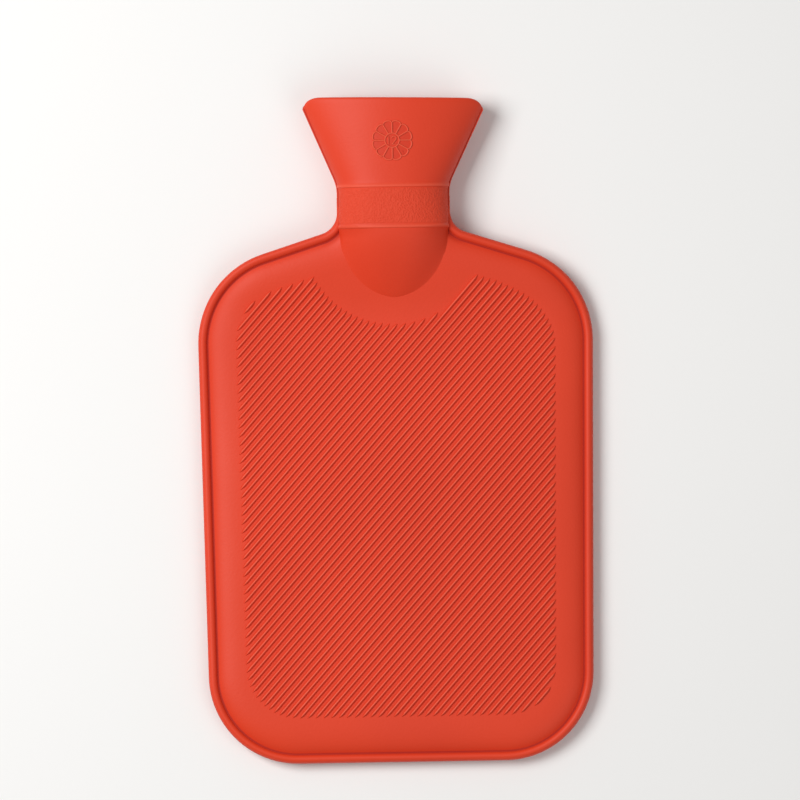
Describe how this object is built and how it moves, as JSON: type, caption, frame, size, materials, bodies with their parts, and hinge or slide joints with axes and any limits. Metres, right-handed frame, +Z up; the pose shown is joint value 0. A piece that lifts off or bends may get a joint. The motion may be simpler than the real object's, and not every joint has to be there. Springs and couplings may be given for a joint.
{
  "type": "hot water bottle",
  "caption": "Flat ribbed rubber hot water bottle with a rolled rim, domed neck, flared funnel mouth and a screw stopper that turns out of a threaded bush.",
  "frame": {"origin": "centre of the footprint, on the table that the bottle lies on", "axes": "+X across the bottle, +Y from its foot to its mouth, +Z up from the table"},
  "size_m": [0.2, 0.337, 0.032],
  "materials": {
    "natural_rubber": "moulded, soft sheen",
    "brass": "turned",
    "black_rubber": "matte",
    "black_plastic": "moulded"
  },
  "bodies": {
    "bottle": {"rubber_bottle": "natural_rubber", "threaded_bush": "brass"},
    "stopper_seal": {"sealing_washer": "black_rubber"},
    "stopper": {"stopper_stud": "brass", "stopper_grip": "black_plastic"}
  },
  "joints": [
    {"name": "stopper_lift", "type": "slide", "parent": "bottle", "child": "stopper_seal", "axis": [0, 1, 0], "range_m": [0, 0.06]},
    {"name": "stopper_turn", "type": "hinge", "parent": "stopper_seal", "child": "stopper", "pos_m": [0, 0.1241, 0.016], "axis": [0, 1, 0], "range_deg": [0, 5400]}
  ],
  "couplings": [
    {"joint": "stopper_turn", "follows": "stopper_lift", "rad_per_m": 1570.8}
  ]
}
